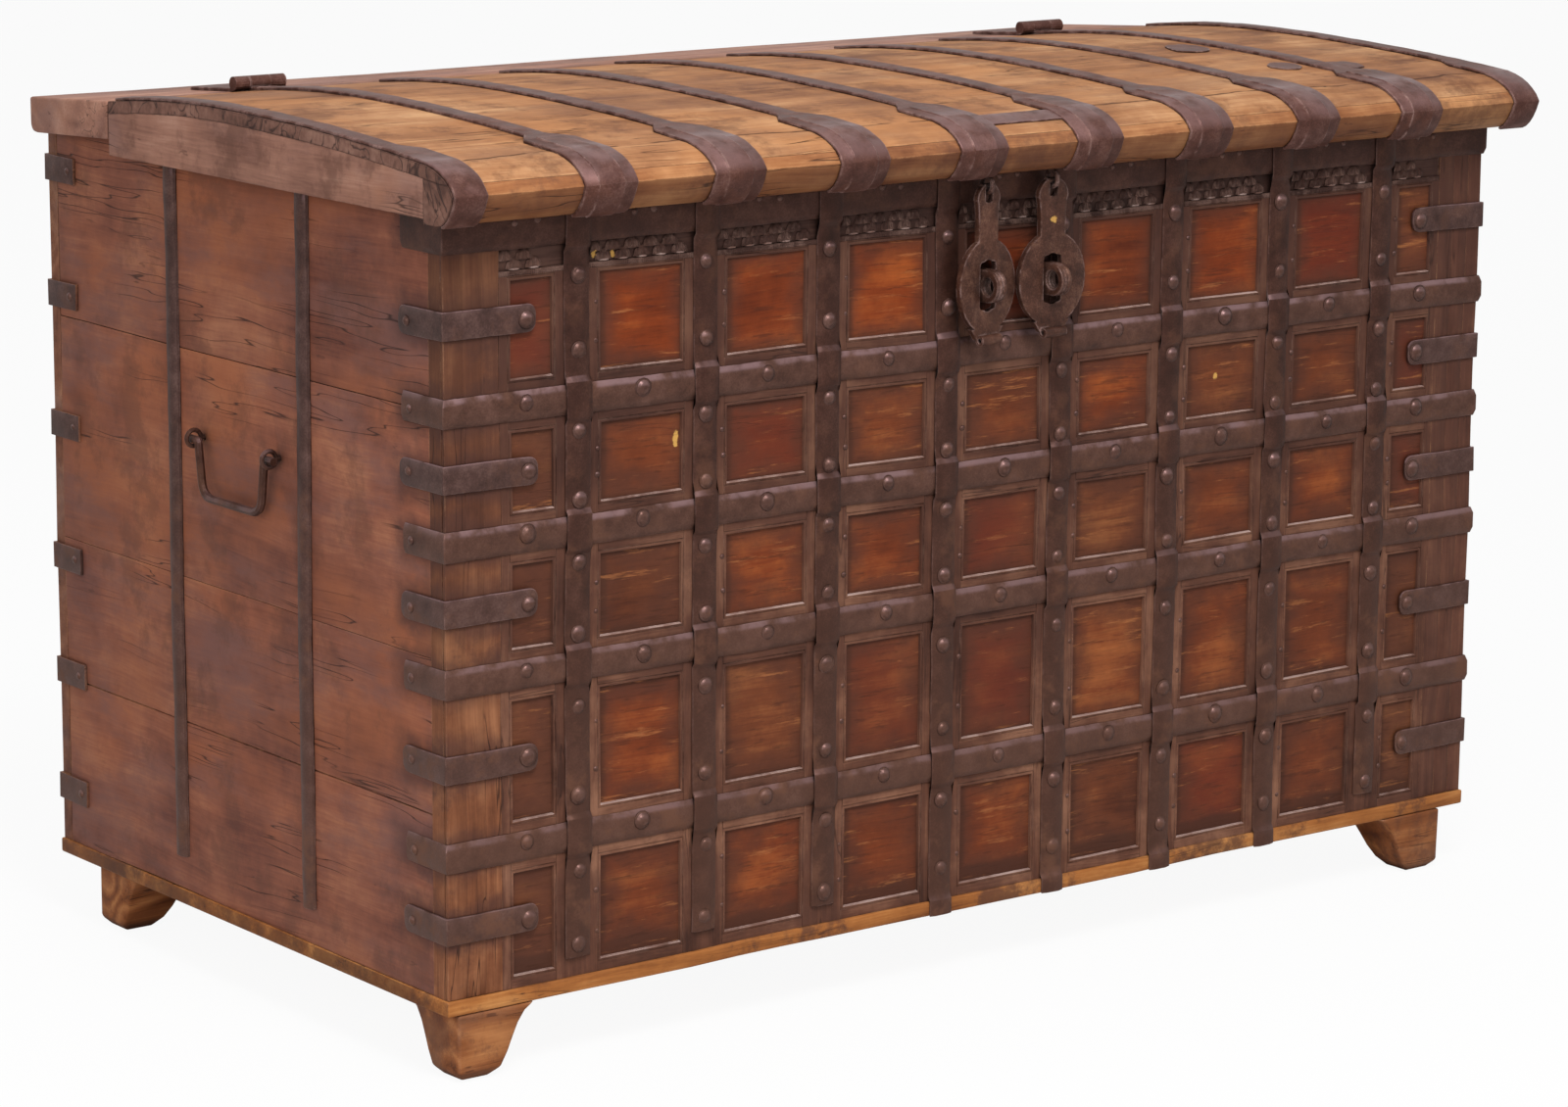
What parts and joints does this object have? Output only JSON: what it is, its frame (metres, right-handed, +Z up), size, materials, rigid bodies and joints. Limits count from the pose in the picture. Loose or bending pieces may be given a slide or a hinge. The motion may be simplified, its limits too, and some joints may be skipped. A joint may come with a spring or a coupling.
{
  "type": "iron-bound chest",
  "caption": "Large wooden chest with a shallow domed lid, a riveted lattice of iron straps over a panelled front, slotted hasps, bail handles on the ends and small shaped feet.",
  "frame": {"origin": "middle of the chest's outline on the floor, under the feet", "axes": "+X to the chest's right as seen from the front, +Y to the back, +Z up"},
  "size_m": [1.454, 0.8267, 0.9363],
  "materials": {
    "front_wood": "worn, waxed, orange-brown with dark edges",
    "moulding_wood": "worn, dull, dark brown",
    "side_wood": "weathered, reddish brown",
    "lid_wood": "worn, honey brown",
    "gable_wood": "weathered, grey-brown",
    "nose_wood": "worn, waxed",
    "base_wood": "sawn, pale golden",
    "foot_wood": "sawn, worn at the toes",
    "strap_iron": "forged, brown patina, half gloss",
    "hasp_iron": "forged, brown patina, rubbed"
  },
  "bodies": {
    "carcass": {"bottom_board": "base_wood", "front_board": "front_wood", "rear_board": "side_wood", "side_plank_left_1": "side_wood", "side_plank_left_2": "side_wood", "side_plank_left_3": "side_wood", "side_plank_right_1": "side_wood", "side_plank_right_2": "side_wood", "side_plank_right_3": "side_wood", "foot_front_left": "foot_wood", "foot_front_right": "foot_wood", "foot_rear_left": "foot_wood", "foot_rear_right": "foot_wood", "front_moulding": "moulding_wood", "cross_strap_1": "strap_iron", "cross_strap_2": "strap_iron", "cross_strap_3": "strap_iron", "cross_strap_4": "strap_iron", "top_band": "strap_iron", "upright_strap_1": "strap_iron", "upright_strap_2": "strap_iron", "upright_strap_3": "strap_iron", "upright_strap_4": "strap_iron", "upright_strap_5": "strap_iron", "upright_strap_6": "strap_iron", "upright_strap_7": "strap_iron", "upright_strap_8": "strap_iron", "side_bar_left_1": "strap_iron", "side_bar_left_2": "strap_iron", "side_bar_right_1": "strap_iron", "side_bar_right_2": "strap_iron", "handle_eye_left_1": "strap_iron", "handle_eye_left_2": "strap_iron", "handle_eye_right_1": "strap_iron", "handle_eye_right_2": "strap_iron", "hinge_left": "strap_iron", "hinge_right": "strap_iron", "rear_rail": "gable_wood", "lock_staple_left": "hasp_iron", "lock_staple_right": "hasp_iron"},
    "lid": {"lid_planks": "lid_wood", "lid_nose_rail": "nose_wood", "lid_end_left": "gable_wood", "lid_end_right": "gable_wood", "lid_strap_1": "strap_iron", "lid_strap_2": "strap_iron", "lid_strap_3": "strap_iron", "lid_strap_4": "strap_iron", "lid_strap_5": "strap_iron", "lid_strap_6": "strap_iron", "lid_strap_7": "strap_iron", "lid_strap_8": "strap_iron", "lid_edge_strap_left": "strap_iron", "lid_edge_strap_right": "strap_iron", "hasp_eye_left": "hasp_iron", "hasp_eye_right": "hasp_iron"},
    "hasp_left": {"hasp_left": "hasp_iron"},
    "hasp_right": {"hasp_right": "hasp_iron"},
    "handle_left": {"handle_bail_left": "strap_iron"},
    "handle_right": {"handle_bail_right": "strap_iron"}
  },
  "joints": [
    {"name": "lid_hinge", "type": "hinge", "parent": "carcass", "child": "lid", "pos_m": [0, 0.2315, 0.9286], "axis": [-1, 0, 0], "range_deg": [0, 105]},
    {"name": "hasp_left_swing", "type": "hinge", "parent": "lid", "child": "hasp_left", "pos_m": [-0.042, -0.3735, 0.8454], "axis": [-1, 0, 0], "range_deg": [0, 90]},
    {"name": "hasp_right_swing", "type": "hinge", "parent": "lid", "child": "hasp_right", "pos_m": [0.046, -0.3735, 0.8454], "axis": [-1, 0, 0], "range_deg": [0, 90]},
    {"name": "handle_left_swing", "type": "hinge", "parent": "carcass", "child": "handle_left", "pos_m": [-0.713, 0.0187, 0.5828], "axis": [0, 1, 0], "range_deg": [0, 170]},
    {"name": "handle_right_swing", "type": "hinge", "parent": "carcass", "child": "handle_right", "pos_m": [0.713, 0.0187, 0.5828], "axis": [0, -1, 0], "range_deg": [0, 170]}
  ]
}
